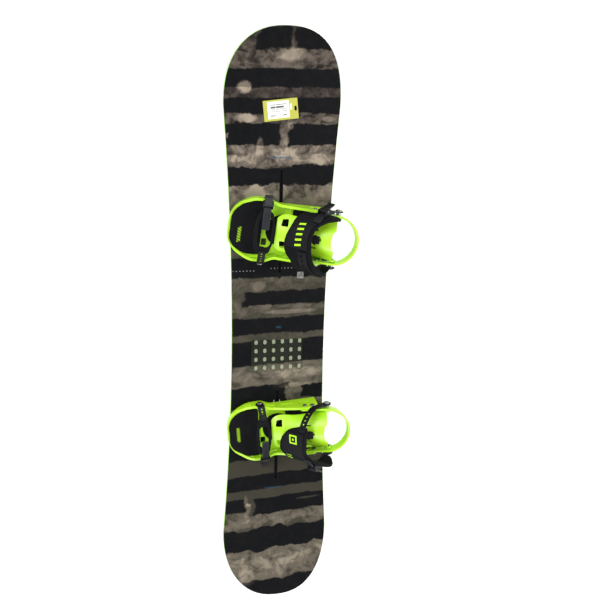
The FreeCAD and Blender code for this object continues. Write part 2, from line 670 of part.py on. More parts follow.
def build_ankle_buckle(style):
    """Ratchet buckle: frame with two cheeks, its axle and the lever."""
    frame = arch_frame()
    sag = style["sag"]
    stations = []
    for turn in (-7, 2, 11, 20, 29):
        place = buckle_place(turn, sag)
        stations.append(strap_station(place, sag, PAD_OUT + 0.8, LADDER_IN - 0.4, NEAR_CHEEK, FAR_CHEEK))
    floor = band(frame, stations, 0.5)
    cheek = ((68.1, -6), (68.1, 2), (68.1, 10), (68.1, 19), (68.1, 28), (74, 29), (84, 25), (84.5, 15),
             (77, 2), (75, -6))
    cheek_points = [strap_spot(buckle_place(turn, sag), sag, radius) for radius, turn in cheek]
    cheek_radii = (0.4, 20, 20, 20, 0.4, 3, 4, 6, 8, 2)
    near = slab(cheek_points, cheek_radii, frame, NEAR_CHEEK, NEAR_CHEEK + CHEEK)
    far = slab(cheek_points, cheek_radii, frame, FAR_CHEEK - CHEEK, FAR_CHEEK)
    pin = strap_spot(ANKLE_PIN[1], sag, ANKLE_PIN[0])
    start = at(frame, pin[0], pin[1], NEAR_CHEEK - 1.0)
    axle = cylinder(2.0, start, at(frame, pin[0], pin[1], FAR_CHEEK + 1.0))
    body = floor.fuse([near, far]).cut(axle).removeSplitter()
    angle = math.radians(ANKLE_PIN[1])
    slope = 2 * sag[0] * math.cos(angle) * math.sin(angle) / math.hypot(pin[0], pin[1])
    heading = ANKLE_PIN[1] - 90 + math.degrees(math.atan(slope))
    lever = build_lever(frame, pin, heading, NEAR_CHEEK + CHEEK + 0.4, FAR_CHEEK - CHEEK - 0.4, 38.0)
    return body, axle, lever


def build_lever(frame, spot, heading, near, far, length):
    """Ratchet lever: knuckle on the axle, flat thumb plate and a curled lip."""
    angle = math.radians(heading)
    ahead = frame[1] * math.cos(angle) + frame[2] * math.sin(angle)
    away = frame[1] * (-math.sin(angle)) + frame[2] * math.cos(angle)
    local = (at(frame, spot[0], spot[1]), ahead, away, frame[3])
    profile = ((-4.5, -3.5), (4, -3.0), (10, 0.6), (length - 6, 0.6), (length, 3.6), (length - 1.6, 6.2),
               (length - 8, 3.8), (9, 4.2), (-3.5, 4.6))
    lever = slab(profile, (2.5, 3, 5, 6, 1.2, 1.2, 6, 4, 3), local, near, far)
    hole = cylinder(2.0 + RUNNING_FIT, at(local, 0, 0, near - 1), at(local, 0, 0, far + 1))
    middle = (near + far) / 2.0
    top = (local[0], ahead, frame[3], away)
    recess = ((13, middle - 5), (length - 9, middle - 5), (length - 9, middle + 5), (13, middle + 5))
    return lever.cut([hole, slab(recess, 2.5, top, 2.8, 8)])


# ---------------------------------------------------------------- toe strap
TOE_BENDS = (0, 7, 34, 200, 34, 7, 0)
TOE_BUCKLE_SHARE = 0.45      # place of the buckle on the sloping run of the toe strap


def toe_line(style):
    """Corner points of the toe strap centre line, sideways and up from the toe bolts."""
    rise = style["toe_rise"]
    half = ((82, -14), (82, 15), (52, 29 + rise), (0, 33 + rise))
    return list(half) + [(-u, w) for u, w in reversed(half[:-1])]


def toe_frame(style):
    """Frame of the toe strap: sideways, up, and across, on the toe bolt axis."""
    tilt = math.radians(style["toe_lean"])
    up = V(-math.sin(tilt), 0, math.cos(tilt))
    across = V(math.cos(tilt), 0, math.sin(tilt))
    return (V(TOE_BOLT_X, 0, TOE_BOLT_Z), Y_AXIS, up, across)


def toe_wire(style):
    """Centre line of the toe strap as a row of lines and arcs."""
    spots = [V(p[0], p[1], 0) for p in toe_line(style)]
    edges = []
    last = spots[0]
    for i in range(1, len(spots) - 1):
        start, middle, end = corner(spots[i - 1], spots[i], spots[i + 1], TOE_BENDS[i])
        edges.append(Part.makeLine(last, start))
        edges.append(Part.Arc(start, middle, end).toShape())
        last = end
    edges.append(Part.makeLine(last, spots[-1]))
    return edges


def toe_spots(style, first, final, count):
    """Points and outward directions between two distances along the centre line."""
    edges = toe_wire(style)
    spots = []
    for i in range(count):
        left = first + (final - first) * i / (count - 1.0)
        for edge in edges:
            if left <= edge.Length or edge is edges[-1]:
                place = edge.getParameterByLength(min(left, edge.Length))
                spot = edge.valueAt(place)
                run = edge.tangentAt(place)
                break
            left -= edge.Length
        spots.append(((spot.x, spot.y), (run.y, -run.x)))
    return spots


def toe_band(style, spots, low, high, nears, fars, radius):
    """Toe strap piece lofted through points of the centre line."""
    stations = []
    for i in range(len(spots)):
        spot, normal = spots[i]
        stations.append((spot, normal, low, high, nears[i], fars[i]))
    return band(toe_frame(style), stations, radius)


def toe_length(style):
    """Length of the toe strap centre line."""
    return sum(edge.Length for edge in toe_wire(style))


def ring_edge(reach, share):
    """Distance of the toe cap edge from its middle line, along its run."""
    grow = math.sin(math.pi * share) ** 0.55
    return reach * (0.45 + 0.55 * grow)


def build_toe_cap(style):
    """Soft ring-shaped toe cap with one wide opening."""
    frame = toe_frame(style)
    whole = toe_length(style)
    near, far = style["ring"]
    spots = toe_spots(style, whole * 0.5 - 56, whole * 0.5 + 58, 13)
    nears = [ring_edge(near, i / 12.0) for i in range(13)]
    fars = [ring_edge(far, i / 12.0) for i in range(13)]
    cap = toe_band(style, spots, -9.6, -3.6, nears, fars, 2.2)
    front, back, half = style["opening"]
    upright = (frame[0], frame[1], frame[3], frame[2])
    hole = ((-half + 3, front), (half - 3, front), (half, back), (-half, back))
    return cap.cut(slab(hole, 9, upright, 5, 70))


def toe_end(style, side):
    """Round end of a toe strap leg on the toe bolt."""
    frame = toe_frame(style)
    return cylinder(10.5, at(frame, side * 80.5, 0, 0), at(frame, side * 83.5, 0, 0))


def toe_hole():
    """Through hole on the toe bolt axis."""
    return cylinder(BOLT_RADIUS + RUNNING_FIT, V(TOE_BOLT_X, -100, TOE_BOLT_Z), V(TOE_BOLT_X, 100, TOE_BOLT_Z))


def build_toe_connector(style):
    """Inner toe strap with a row of holes."""
    frame = toe_frame(style)
    whole = toe_length(style)
    spots = toe_spots(style, whole - 66, whole - 13.5, 12)
    strap = toe_band(style, spots, -1.5, 1.5, [-9.5] * 12, [9.5] * 12, 0.9)
    strap = strap.fuse(toe_end(style, -1)).removeSplitter()
    cuts = [toe_hole()]
    for spot, normal in toe_spots(style, whole - 58, whole - 36, 4):
        way = frame[1] * normal[0] + frame[2] * normal[1]
        middle = at(frame, spot[0], spot[1])
        cuts.append(cylinder(2.4, middle - way * 5, middle + way * 5))
    return strap.cut(cuts)


def build_toe_ladder(style):
    """Toothed toe ladder from the outer bolt through the buckle to mid strap."""
    frame = toe_frame(style)
    spots = toe_spots(style, 13.5, 106, 18)
    half = [9.5] * 17 + [7.0]
    strap = toe_band(style, spots, -1.5, 1.5, [-h for h in half], half, 0.9)
    strap = strap.fuse(toe_end(style, 1)).removeSplitter()
    cuts = [toe_hole()]
    for spot, normal in toe_spots(style, 40, 100, 17):
        way = frame[1] * normal[0] + frame[2] * normal[1]
        side = frame[1] * (-normal[1]) + frame[2] * normal[0]
        local = (at(frame, spot[0], spot[1]), side, frame[3], way)
        cuts.append(slab(((-0.9, -7), (0.9, -7), (0.9, 7), (-0.9, 7)), 0.0, local, 0.3, 4))
    return strap.cut(cuts)


def build_toe_buckle(style):
    """Small ratchet buckle on the straight run of the toe ladder."""
    frame = toe_frame(style)
    low = toe_line(style)[1]
    high = toe_line(style)[2]
    run = V(high[0] - low[0], high[1] - low[1], 0).normalize()
    middle = (low[0] + (high[0] - low[0]) * TOE_BUCKLE_SHARE, low[1] + (high[1] - low[1]) * TOE_BUCKLE_SHARE)
    ahead = frame[1] * run.x + frame[2] * run.y
    out = frame[1] * run.y - frame[2] * run.x
    local = (at(frame, middle[0], middle[1]), ahead, out, frame[3])
    floor = slab(((-11, -3.2), (10, -3.2), (10, -1.8), (-11, -1.8)), 0.4, local, -12.6, 12.6)
    cheek = ((-11, -3.2), (10, -3.2), (11, 2), (8, 9.6), (-2, 9.6), (-11, 2.5))
    near = slab(cheek, (1, 1, 2, 3, 4, 2), local, -12.6, -10.2)
    far = slab(cheek, (1, 1, 2, 3, 4, 2), local, 10.2, 12.6)
    axle = cylinder(1.8, at(local, 3, 5.6, -13.2), at(local, 3, 5.6, 13.2))
    body = floor.fuse([near, far]).cut(axle).removeSplitter()
    back = (at(local, 3, 5.6), ahead * -1.0, out, frame[3])
    profile = ((-4, -2.6), (4, -2.4), (9, 0.4), (22, 0.6), (26, 3.0), (24.6, 5.2), (18, 3.6), (8, 3.8), (-3, 3.8))
    lever = slab(profile, (2, 2.5, 4, 5, 1, 1, 5, 4, 2.5), back, -9.8, 9.8)
    hole = cylinder(1.8 + RUNNING_FIT, at(local, 3, 5.6, -12), at(local, 3, 5.6, 12))
    return body, axle, lever.cut(hole)


# ---------------------------------------------------------------- everything together
# Both ankle straps hang over towards the tail: the front one on its inner side, the rear
# one on its outer side. Pad rows are (place along the strap, near edge, far edge).
STYLES = {
    "front": {
        "sag": (0.0, 22.0),
        "pad": ((6, 14, 54), (14, -7, 74), (22, -24, 72), (32, -35, 57), (46, -39, 42), (62, -41, 32),
                (80, -46, 29), (98, -51, 30), (114, -52, 32), (128, -47, 35), (140, -39, 38),
                (152, -37, 48), (162, -36, 58), (170, -22, 48)),
        "cover": (34, 110),
        "connector": (114, 2.0, 12.0),
        "toe_lean": 8.0,
        "toe_rise": 0.0,
        "ring": (-29.0, 26.0),
        "opening": (-15.0, 16.0, 37.0),
    },
    "rear": {
        "sag": (22.0, 0.0),
        "pad": ((-17, 32, 54), (-9, 24, 64), (0, 14, 69), (10, 0, 69), (20, -16, 62), (30, -36, 50),
                (40, -52, 40), (52, -60, 31), (66, -58, 28), (80, -53, 31), (94, -45, 33),
                (108, -32, 34), (118, -14, 33), (125, 6, 30)),
        "cover": (34, 106),
        "connector": (112, 17.0, 9.0),
        "toe_lean": -6.0,
        "toe_rise": 6.0,
        "ring": (-23.0, 19.5),
        "opening": (-12.0, 9.5, 31.0),
    },
}


def build_binding(style):
    """All pieces of one binding in its own frame."""
    pieces = {}
    pieces["baseplate"] = build_baseplate()
    pieces["toe_footbed"], pieces["heel_footbed"] = build_footbeds(pieces["baseplate"])
    pieces["mounting_disc"], pieces["disc_screws"], pieces["channel_nuts"] = build_disc()
    pieces["heel_hoop"] = build_hoop()
    pieces["base_bolts"], pieces["pivot_bolts"] = build_bolts()
    pieces["highback"], pieces["highback_pad"], pieces["lean_adjuster"] = build_highback()
    pieces["ankle_pad"] = build_ankle_pad(style)
    pieces["ankle_cover"] = build_ankle_cover(style)
    pieces["ankle_connector"] = build_ankle_connector(style)
    pieces["ankle_ladder"] = build_ankle_ladder(style)
    pieces["ankle_buckle"], pieces["ankle_axle"], pieces["ankle_lever"] = build_ankle_buckle(style)
    pieces["toe_cap"] = build_toe_cap(style)
    pieces["toe_connector"] = build_toe_connector(style)
    pieces["toe_ladder"] = build_toe_ladder(style)
    pieces["toe_buckle"], pieces["toe_axle"], pieces["toe_lever"] = build_toe_buckle(style)
    return pieces


def main():
    """Build every piece, place both bindings on the board and write one file per piece."""
    os.makedirs("parts", exist_ok=True)
    nodes = build_board()
    on_channel = ("mounting_disc", "disc_screws", "channel_nuts")
    for name, stance, turn, mirrored in STANCE:
        for piece, shape in build_binding(STYLES[name]).items():
            placed = shape.mirror(V(0, 0, 0), Y_AXIS) if mirrored else shape.copy()
            if piece not in on_channel:
                placed.rotate(V(0, 0, 0), Z_AXIS, turn)
            placed.translate(V(0, stance, 0))
            nodes[name + "_" + piece] = placed
    for node, shape in nodes.items():
        shape.exportStep("parts/" + node + ".step")
        print(node, len(shape.Solids), round(shape.Volume), shape.isValid())


main()
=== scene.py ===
import json
import math
import bmesh
import bpy
from mathutils import Matrix, Vector


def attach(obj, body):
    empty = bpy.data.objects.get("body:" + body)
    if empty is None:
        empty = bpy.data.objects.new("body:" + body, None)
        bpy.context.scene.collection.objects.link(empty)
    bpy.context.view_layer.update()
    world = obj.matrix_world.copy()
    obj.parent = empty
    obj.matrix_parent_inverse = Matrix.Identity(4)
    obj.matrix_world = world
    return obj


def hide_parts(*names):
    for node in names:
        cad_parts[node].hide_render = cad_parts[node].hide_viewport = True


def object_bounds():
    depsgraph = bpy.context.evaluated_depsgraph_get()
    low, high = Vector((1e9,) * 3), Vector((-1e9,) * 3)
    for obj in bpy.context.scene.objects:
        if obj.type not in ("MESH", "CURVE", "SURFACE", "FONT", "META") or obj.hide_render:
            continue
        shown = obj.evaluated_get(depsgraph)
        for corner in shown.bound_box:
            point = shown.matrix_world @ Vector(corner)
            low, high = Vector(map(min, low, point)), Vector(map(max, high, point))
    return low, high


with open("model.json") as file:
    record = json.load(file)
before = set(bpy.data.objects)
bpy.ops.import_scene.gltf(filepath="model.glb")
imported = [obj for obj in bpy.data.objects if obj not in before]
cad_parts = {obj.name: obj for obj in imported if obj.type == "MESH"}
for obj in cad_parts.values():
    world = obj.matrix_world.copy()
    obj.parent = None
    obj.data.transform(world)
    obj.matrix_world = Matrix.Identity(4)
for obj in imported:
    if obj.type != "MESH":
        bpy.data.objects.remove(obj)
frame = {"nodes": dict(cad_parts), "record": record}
CAD_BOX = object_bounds()
NODES = frame["nodes"]
SIDES = ("front", "rear")
# place on the board (m), turn (degrees) and side sign of each binding
BINDINGS = {"front": (0.276, -7.0, 1.0), "rear": (-0.267, 4.0, -1.0)}
TO_MM = 1000.0
HALF_LENGTH = 770.0  # of the board, mm

# linear colours
BLACK = (0.0030, 0.0033, 0.0042)
BROWN = (0.0075, 0.0063, 0.0060)
TAUPE = (0.092, 0.075, 0.060)
PALE = (0.250, 0.208, 0.160)
OLIVE = (0.085, 0.080, 0.055)
LIME = (0.40, 0.74, 0.016)
# a darker copy of the lime nylon, used as painted shade in random clouds
LIME_PAINTED_SHADE = (0.27, 0.53, 0.008)
BLUE = (0.012, 0.055, 0.090)
RUBBER_LOW = (0.10, 0.12, 0.07)
RUBBER_HIGH = (0.50, 0.56, 0.38)
BADGE_GREY = (0.24, 0.24, 0.24)
BADGE_CORE = (0.10, 0.10, 0.10)


# ---------------------------------------------------------------- node helpers
class Shader:
    """A material under construction, with short calls for the nodes it needs."""

    def __init__(self, name):
        self.material = bpy.data.materials.new(name)
        self.material.use_nodes = True
        self.tree = self.material.node_tree
        self.bsdf = self.tree.nodes["Principled BSDF"]
        self.place = self.tree.nodes.new("ShaderNodeTexCoord").outputs["Object"]

    def node(self, kind, **settings):
        made = self.tree.nodes.new(kind)
        for key, value in settings.items():
            setattr(made, key, value)
        return made

    def link(self, source, socket):
        if hasattr(source, "is_output"):
            self.tree.links.new(source, socket)
        else:
            socket.default_value = source

    def math(self, operation, a, b=0.0, c=0.0, clamp=False):
        made = self.node("ShaderNodeMath", operation=operation, use_clamp=clamp)
        for i, value in enumerate((a, b, c)):
            self.link(value, made.inputs[i])
        return made.outputs[0]

    def axes(self, vector=None):
        made = self.node("ShaderNodeSeparateXYZ")
        self.link(vector or self.place, made.inputs[0])
        return made.outputs[0], made.outputs[1], made.outputs[2]

    def vector(self, x, y, z):
        made = self.node("ShaderNodeCombineXYZ")
        for i, value in enumerate((x, y, z)):
            self.link(value, made.inputs[i])
        return made.outputs[0]

    def stretched(self, x, y, z, source=None):
        made = self.node("ShaderNodeVectorMath", operation="MULTIPLY")
        self.link(source or self.place, made.inputs[0])
        made.inputs[1].default_value = (x, y, z)
        return made.outputs[0]

    def noise(self, scale, detail=4.0, rough=0.55, source=None, warp=0.0):
        made = self.node("ShaderNodeTexNoise")
        self.link(source or self.place, made.inputs["Vector"])
        made.inputs["Scale"].default_value = scale
        made.inputs["Detail"].default_value = detail
        made.inputs["Roughness"].default_value = rough
        made.inputs["Distortion"].default_value = warp
        return made.outputs["Fac"]

    def span(self, value, low, high, to_low=0.0, to_high=1.0):
        made = self.node("ShaderNodeMapRange", interpolation_type="SMOOTHSTEP")
        self.link(value, made.inputs["Value"])
        made.inputs["From Min"].default_value = low
        made.inputs["From Max"].default_value = high
        made.inputs["To Min"].default_value = to_low
        made.inputs["To Max"].default_value = to_high
        return made.outputs["Result"]

    def span_linear(self, value, low, high):
        made = self.node("ShaderNodeMapRange")
        self.link(value, made.inputs["Value"])
        made.inputs["From Min"].default_value = low
        made.inputs["From Max"].default_value = high
        return made.outputs["Result"]

    def mix(self, share, a, b):
        made = self.node("ShaderNodeMix", data_type="RGBA", blend_type="MIX")
        self.link(share, made.inputs[0])
        self.link(a if hasattr(a, "is_output") else (*a, 1.0), made.inputs[6])
        self.link(b if hasattr(b, "is_output") else (*b, 1.0), made.inputs[7])
        return made.outputs[2]

    def bump(self, height, distance):
        """Add relief on top of any relief already there."""
        made = self.node("ShaderNodeBump")
        self.link(height, made.inputs["Height"])
        made.inputs["Distance"].default_value = distance
        made.inputs["Strength"].default_value = 1.0
        before = self.bsdf.inputs["Normal"].links
        if before:
            self.tree.links.new(before[0].from_socket, made.inputs["Normal"])
        self.tree.links.new(made.outputs[0], self.bsdf.inputs["Normal"])

    def set(self, **values):
        """Set inputs of the surface by their short names."""
        names = {"color": "Base Color", "rough": "Roughness", "metal": "Metallic", "sheen": "Sheen Weight",
                 "sheen_rough": "Sheen Roughness", "level": "Specular IOR Level", "alpha": "Alpha",
                 "subsurface": "Subsurface Weight"}
        for key, value in values.items():
            if key == "color" and not hasattr(value, "is_output"):
                value = (*value, 1.0)
            self.link(value, self.bsdf.inputs[names[key]])


def box_mask(shader, x, y, low_x, high_x, low_y, high_y, soft):
    """One inside a rectangle with soft sides, zero outside."""
    left = shader.span(x, low_x - soft, low_x + soft)
    right = shader.span(x, high_x - soft, high_x + soft, 1.0, 0.0)
    low = shader.span(y, low_y - soft, low_y + soft)
    high = shader.span(y, high_y - soft, high_y + soft, 1.0, 0.0)
    return shader.math("MULTIPLY", shader.math("MULTIPLY", left, right), shader.math("MULTIPLY", low, high))


# ---------------------------------------------------------------- plain materials
def wear(shader, base, light):
    """Colour with faint large clouds and small scuffs."""
    cloud = shader.noise(14.0, 3.0, 0.5)
    scuff = shader.span(shader.noise(260.0, 2.0, 0.6, shader.stretched(1.0, 0.25, 1.0)), 0.60, 0.76)
    share = shader.math("ADD", shader.span(cloud, 0.35, 0.75, 0.0, 0.5), shader.math("MULTIPLY", scuff, 0.5))
    return shader.mix(shader.math("MULTIPLY", share, 0.35), base, light)


def plastic(name, base, light, rough, level=0.3):
    """Moulded plastic with fine spark-eroded grain."""
    shader = Shader(name)
    shader.set(color=wear(shader, base, light), level=level)
    shader.set(rough=shader.span(shader.noise(30.0), 0.3, 0.7, rough - 0.06, rough + 0.08))
    shader.bump(shader.noise(900.0, 2.0, 0.5), 0.00006)
    return shader.material


def lime_plastic():
    """Bright satin nylon; slightly translucent, deeper where it is thick, with random clouds of painted shade."""
    shader = Shader("lime_nylon")
    cloud = shader.noise(9.0, 2.0, 0.5)
    # random clouds of painted shade darken the lime toward its shaded copy
    color = shader.mix(shader.span(cloud, 0.3, 0.75, 0.0, 0.55), LIME, LIME_PAINTED_SHADE)
    scuff = shader.span(shader.noise(190.0, 3.0, 0.65, shader.stretched(1.0, 0.3, 1.0)), 0.66, 0.80, 0.0, 0.30)
    color = shader.mix(scuff, color, (0.62, 0.95, 0.20))
    shader.set(color=color, rough=shader.span(shader.noise(40.0), 0.3, 0.7, 0.30, 0.44), subsurface=0.06)
    shader.bsdf.inputs["Subsurface Radius"].default_value = (0.4, 1.0, 0.1)
    shader.bsdf.inputs["Subsurface Scale"].default_value = 0.002
    shader.bump(shader.noise(1100.0, 2.0, 0.5), 0.00005)
    return shader.material


def metal(name, base, rough):
    """Plated or cast metal with fine directional marks."""
    shader = Shader(name)
    marks = shader.noise(420.0, 3.0, 0.6, shader.stretched(1.0, 14.0, 1.0))
    shade = tuple(value * 0.62 for value in base)
    shader.set(color=shader.mix(shader.span(marks, 0.35, 0.7, 0.0, 0.7), base, shade), metal=1.0)
    shader.set(rough=shader.span(marks, 0.3, 0.7, rough - 0.08, rough + 0.14))
    shader.bump(marks, 0.00003)
    return shader.material


def wood():
    """Laminated wood core: strips along the board with grain."""
    shader = Shader("core_wood")
    x = shader.axes()[0]
    strip = shader.math("FRACT", shader.math("MULTIPLY", x, 55.0))
    grain = shader.noise(60.0, 5.0, 0.6, shader.stretched(9.0, 0.5, 9.0))
    color = shader.mix(shader.span(grain, 0.3, 0.7), (0.42, 0.27, 0.13), (0.62, 0.44, 0.24))
    color = shader.mix(shader.span(strip, 0.0, 0.06, 0.5, 0.0), color, (0.20, 0.12, 0.06))
    shader.set(color=color, rough=0.6)
    shader.bump(grain, 0.0001)
    return shader.material


def foam():
    """Closed-cell foam with a fine skin."""
    shader = Shader("foam")
    cells = shader.noise(1500.0, 2.0, 0.6)
    color = shader.mix(shader.span(cells, 0.35, 0.7), (0.0030, 0.0031, 0.0036), (0.0085, 0.0088, 0.0100))
    shader.set(color=color, rough=0.88, level=0.08)
    shader.bump(cells, 0.00010)
    return shader


def binding_axes(shader, side):
    """Coordinates of one binding in millimetres, from the object coordinates at rest."""
    middle, turn, mirror = BINDINGS[side]
    x, y, z = shader.axes()
    angle = math.radians(-turn)
    along = shader.math("SUBTRACT", y, middle)
    cosine, sine = math.cos(angle) * TO_MM, math.sin(angle) * TO_MM
    px = shader.math("SUBTRACT", shader.math("MULTIPLY", x, cosine), shader.math("MULTIPLY", along, sine))
    py = shader.math("ADD", shader.math("MULTIPLY", x, sine), shader.math("MULTIPLY", along, cosine))
    return px, shader.math("MULTIPLY", py, mirror), shader.math("MULTIPLY", z, TO_MM)


def slanted_bars(shader, u, v, low_u, high_u, low_v, high_v, pitch, lean):
    """A row of plain leaning bars inside a rectangle."""
    phase = shader.math("DIVIDE", shader.math("ADD", u, shader.math("MULTIPLY", v, lean)), pitch)
    bars = shader.span(shader.math("PINGPONG", phase, 0.5), 0.17, 0.21, 1.0, 0.0)
    return shader.math("MULTIPLY", bars, box_mask(shader, u, v, low_u, high_u, low_v, high_v, 0.25))


def toe_foam(side):
    """Foam of the toe ramp with a small row of lime bars."""
    shader = foam()
    shader.material.name = side + "_toe_foam"
    x, y, z = binding_axes(shader, side)
    low, high = (-36.0, 2.0) if side == "front" else (-18.0, 22.0)
    mark = slanted_bars(shader, y, x, low, high, -113.0, -104.5, 6.5, 0.5)
    top = shader.span(z, 27.0, 28.0)
    base = shader.bsdf.inputs["Base Color"].links[0].from_socket
    shader.set(color=shader.mix(shader.math("MULTIPLY", mark, top), base, LIME))
    return shader.material


def strap_cover(side):
    """Smooth black cover of the ankle strap with plain lime shapes printed on it."""
    shader = Shader(side + "_cover_print")
    x, y, z = binding_axes(shader, side)
    # the strap turns about this place; position is read as an angle around it and a distance across
    dx = shader.math("SUBTRACT", x, 80.0)
    dz = shader.math("SUBTRACT", z, 66.0)
    sine, cosine = math.sin(math.radians(43.0)), math.cos(math.radians(43.0))
    up = shader.math("SUBTRACT", shader.math("MULTIPLY", dz, sine), shader.math("MULTIPLY", dx, cosine))
    across = shader.math("ADD", shader.math("MULTIPLY", dx, sine), shader.math("MULTIPLY", dz, cosine))
    turn = shader.math("MULTIPLY", shader.math("ARCTAN2", up, y), math.degrees(1.0))
    if side == "front":
        mark = slanted_bars(shader, turn, across, 51.0, 107.0, -17.0, 1.0, 11.2, 0.16)
    else:
        mark = slanted_bars(shader, turn, across, 20.0, 48.0, -40.0, -24.0, 8.5, 0.16)
        frame_mark = box_mask(shader, turn, across, 80.0, 101.0, -20.0, 3.0, 0.5)
        hollow = box_mask(shader, turn, across, 83.5, 97.5, -16.0, -1.0, 0.5)
        heart = box_mask(shader, turn, across, 88.0, 93.0, -11.0, -6.0, 0.5)
        square = shader.math("ADD", shader.math("SUBTRACT", frame_mark, hollow), heart, clamp=True)
        mark = shader.math("MAXIMUM", mark, square)
    fuzz = shader.noise(700.0, 3.0, 0.6)
    color = shader.mix(shader.span(fuzz, 0.3, 0.7), (0.0036, 0.0038, 0.0046), (0.0075, 0.0078, 0.0090))
    shader.set(color=shader.mix(mark, color, LIME), rough=0.58, level=0.14)
    shader.bump(fuzz, 0.00006)
    return shader.material


# ---------------------------------------------------------------- the printed topsheet
# dark bands: middle and half height along the board, low and high end across it (mm), raggedness of the edge
BANDS = (
    (742, 24, -70, 15, 1.0), (742, 26, 22, 140, 0.6), (650, 22, -160, 160, 0.35), (585, 19, -160, 160, 0.4),
    (517, 27, -160, -4, 0.7), (514, 27, 16, 160, 0.7), (414, 24, -160, 160, 1.3), (180, 27, -160, 160, 0.5),
    (97, 19, -92, 160, 0.6), (22, 22, -160, 160, 0.5), (-52, 34, -160, 160, 0.35), (-176, 32, -160, 28, 0.5),
    (-175, 18, 62, 160, 1.2), (-300, 60, -160, 160, 0.6), (-432, 22, -160, 160, 0.5),
    (-508, 26, -60, 160, 0.6), (-500, 22, -160, -84, 0.8), (-612, 32, -160, 160, 1.1), (-752, 24, -160, 160, 0.9),
)
# base tone along the board (mm): 0 brown, 0.5 taupe, 1 pale
TONES = (
    (-770, 0.10), (-735, 0.22), (-700, 0.58), (-665, 0.60), (-640, 0.36), (-590, 0.12), (-560, 0.48), (-534, 0.40),
    (-514, 0.08), (-465, 0.05), (-400, 0.03), (-330, 0.05), (-205, 0.22), (-150, 0.42), (-110, 0.50), (-92, 0.36),
    (-10, 0.12), (30, 0.10), (50, 0.16), (72, 0.32), (105, 0.12), (150, 0.24), (200, 0.12), (350, 0.46),
    (385, 0.52), (440, 0.58), (480, 0.58), (555, 0.24), (615, 0.16), (690, 0.34), (720, 0.26), (770, 0.10),
)
# pale blots: middle across and along the board, half sizes (mm), strength
BLOTS = (
    (-93, 629, 19, 13, 1.0), (-90, 556, 28, 10, 0.9), (15, 706, 34, 14, 0.6), (-66, 372, 26, 18, 0.8),
    (-52, 486, 10, 20, 0.6), (5, 470, 28, 12, 0.5), (30, 58, 60, 5, 0.55),
    (20, 536, 6, 8, 0.6), (-137, 514, 5, 6, 0.8), (-78, -512, 7, 40, 0.35), (-74, -499, 5, 5, 0.8),
    (120, 552, 14, 6, 0.5), (-50, 130, 16, 12, 0.45), (-118, 458, 30, 8, 0.4), (84, 455, 50, 12, 0.45),
    (60, -118, 60, 14, 0.45), (45, -152, 40, 6, 0.4), (95, -500, 34, 3, 0.5), (-88, -716, 20, 20, 0.5),
    (20, -700, 12, 24, 0.35), (60, -690, 30, 20, 0.35),
)


